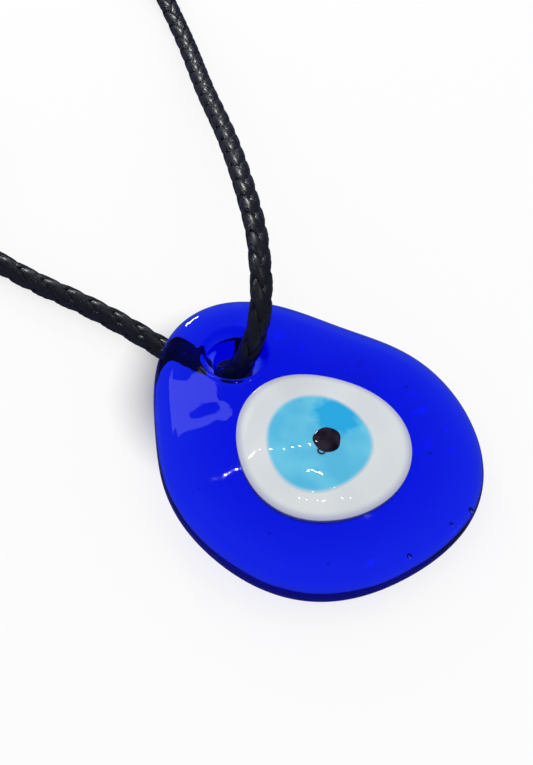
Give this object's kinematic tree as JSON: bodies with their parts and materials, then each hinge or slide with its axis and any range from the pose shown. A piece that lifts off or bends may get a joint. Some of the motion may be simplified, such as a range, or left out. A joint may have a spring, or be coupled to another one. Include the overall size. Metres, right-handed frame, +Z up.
{
  "type": "evil eye pendant",
  "caption": "Drop of cobalt glass with a fused white, blue and dark eye, pierced at its tip and hung on a braided waxed cord with a clasp and an adjusting chain.",
  "frame": {"origin": "middle of the glass drop's box, on the surface that it lies on", "axes": "+Z up from the surface towards the front of the eye, +Y towards the drop's pierced tip, +X to the right seen from the front"},
  "size_m": [0.0997, 0.1354, 0.0151],
  "materials": {
    "cobalt_glass": "clear cobalt glass, fire polished, a few bubbles",
    "white_glass": "opaque white glass, glossy",
    "sky_glass": "opaque sky blue glass, glossy, slightly streaked",
    "dark_glass": "opaque near-black glass, glossy",
    "waxed_cord": "braided waxed cord, black, satin with bright wax",
    "plated_steel": "bright nickel plated"
  },
  "bodies": {
    "cord": {"cord_run": "waxed_cord", "cord_coil": "waxed_cord", "cord_tail": "waxed_cord", "clasp_cap": "plated_steel", "chain_cap": "plated_steel"},
    "pendant": {"glass_drop": "cobalt_glass", "eye_white": "white_glass", "eye_iris": "sky_glass", "eye_pupil": "dark_glass"},
    "clasp_ring": {"clasp_ring": "plated_steel"},
    "clasp": {"clasp_hook": "plated_steel", "clasp_pin": "plated_steel", "clasp_spring": "plated_steel"},
    "clasp_lever": {"clasp_lever": "plated_steel"},
    "chain_ring": {"chain_ring": "plated_steel"},
    "chain_link_1": {"chain_link_1": "plated_steel"},
    "chain_link_2": {"chain_link_2": "plated_steel"},
    "chain_link_3": {"chain_link_3": "plated_steel"},
    "chain_link_4": {"chain_link_4": "plated_steel"},
    "chain_link_5": {"chain_link_5": "plated_steel"},
    "chain_link_6": {"chain_link_6": "plated_steel"},
    "chain_link_7": {"chain_link_7": "plated_steel"},
    "chain_link_8": {"chain_link_8": "plated_steel"},
    "chain_drop": {"chain_drop": "plated_steel"}
  },
  "joints": [
    {"name": "pendant_swing", "type": "hinge", "parent": "cord", "child": "pendant", "pos_m": [0.0002, 0.01291, 0.00583], "axis": [0, -0.0924, 0.9957], "range_deg": [-60, 60]},
    {"name": "clasp_ring_turn", "type": "hinge", "parent": "cord", "child": "clasp_ring", "pos_m": [0.04924, 0.09853, 0.0023], "axis": [-0.9487, 0.3162, 0], "range_deg": [-30, 30]},
    {"name": "clasp_swing", "type": "hinge", "parent": "clasp_ring", "child": "clasp", "pos_m": [0.05024, 0.10154, 0.0014], "axis": [0, 0, 1], "range_deg": [-25, 25]},
    {"name": "clasp_lever_turn", "type": "hinge", "parent": "clasp", "child": "clasp_lever", "pos_m": [0.0499, 0.10587, 0.0014], "axis": [0, 0, 1], "range_deg": [-18, 0], "stiffness_Nm_per_rad": 0.003, "springref_deg": 5.73, "deforming": ["clasp_spring"]},
    {"name": "chain_ring_turn", "type": "hinge", "parent": "cord", "child": "chain_ring", "pos_m": [-0.0413, 0.0787, 0.0023], "axis": [0.7071, 0, 0.7071], "range_deg": [-35, 35]},
    {"name": "chain_link_1_turn", "type": "hinge", "parent": "chain_ring", "child": "chain_link_1", "pos_m": [-0.0413, 0.07645, 0.0023], "axis": [0.7071, 0, -0.7071], "range_deg": [-35, 35]},
    {"name": "chain_link_2_turn", "type": "hinge", "parent": "chain_link_1", "child": "chain_link_2", "pos_m": [-0.0413, 0.0734, 0.0023], "axis": [0.7071, 0, 0.7071], "range_deg": [-35, 35]},
    {"name": "chain_link_3_turn", "type": "hinge", "parent": "chain_link_2", "child": "chain_link_3", "pos_m": [-0.0413, 0.07035, 0.0023], "axis": [0.7071, 0, -0.7071], "range_deg": [-35, 35]},
    {"name": "chain_link_4_turn", "type": "hinge", "parent": "chain_link_3", "child": "chain_link_4", "pos_m": [-0.0413, 0.0673, 0.0023], "axis": [0.7071, 0, 0.7071], "range_deg": [-35, 35]},
    {"name": "chain_link_5_turn", "type": "hinge", "parent": "chain_link_4", "child": "chain_link_5", "pos_m": [-0.0413, 0.06425, 0.0023], "axis": [0.7071, 0, -0.7071], "range_deg": [-35, 35]},
    {"name": "chain_link_6_turn", "type": "hinge", "parent": "chain_link_5", "child": "chain_link_6", "pos_m": [-0.0413, 0.0612, 0.0023], "axis": [0.7071, 0, 0.7071], "range_deg": [-35, 35]},
    {"name": "chain_link_7_turn", "type": "hinge", "parent": "chain_link_6", "child": "chain_link_7", "pos_m": [-0.0413, 0.05815, 0.0023], "axis": [0.7071, 0, -0.7071], "range_deg": [-35, 35]},
    {"name": "chain_link_8_turn", "type": "hinge", "parent": "chain_link_7", "child": "chain_link_8", "pos_m": [-0.0413, 0.0551, 0.0023], "axis": [0.7071, 0, 0.7071], "range_deg": [-35, 35]},
    {"name": "chain_drop_turn", "type": "hinge", "parent": "chain_link_8", "child": "chain_drop", "pos_m": [-0.0413, 0.05205, 0.0023], "axis": [0.7071, 0, -0.7071], "range_deg": [-35, 35]}
  ]
}
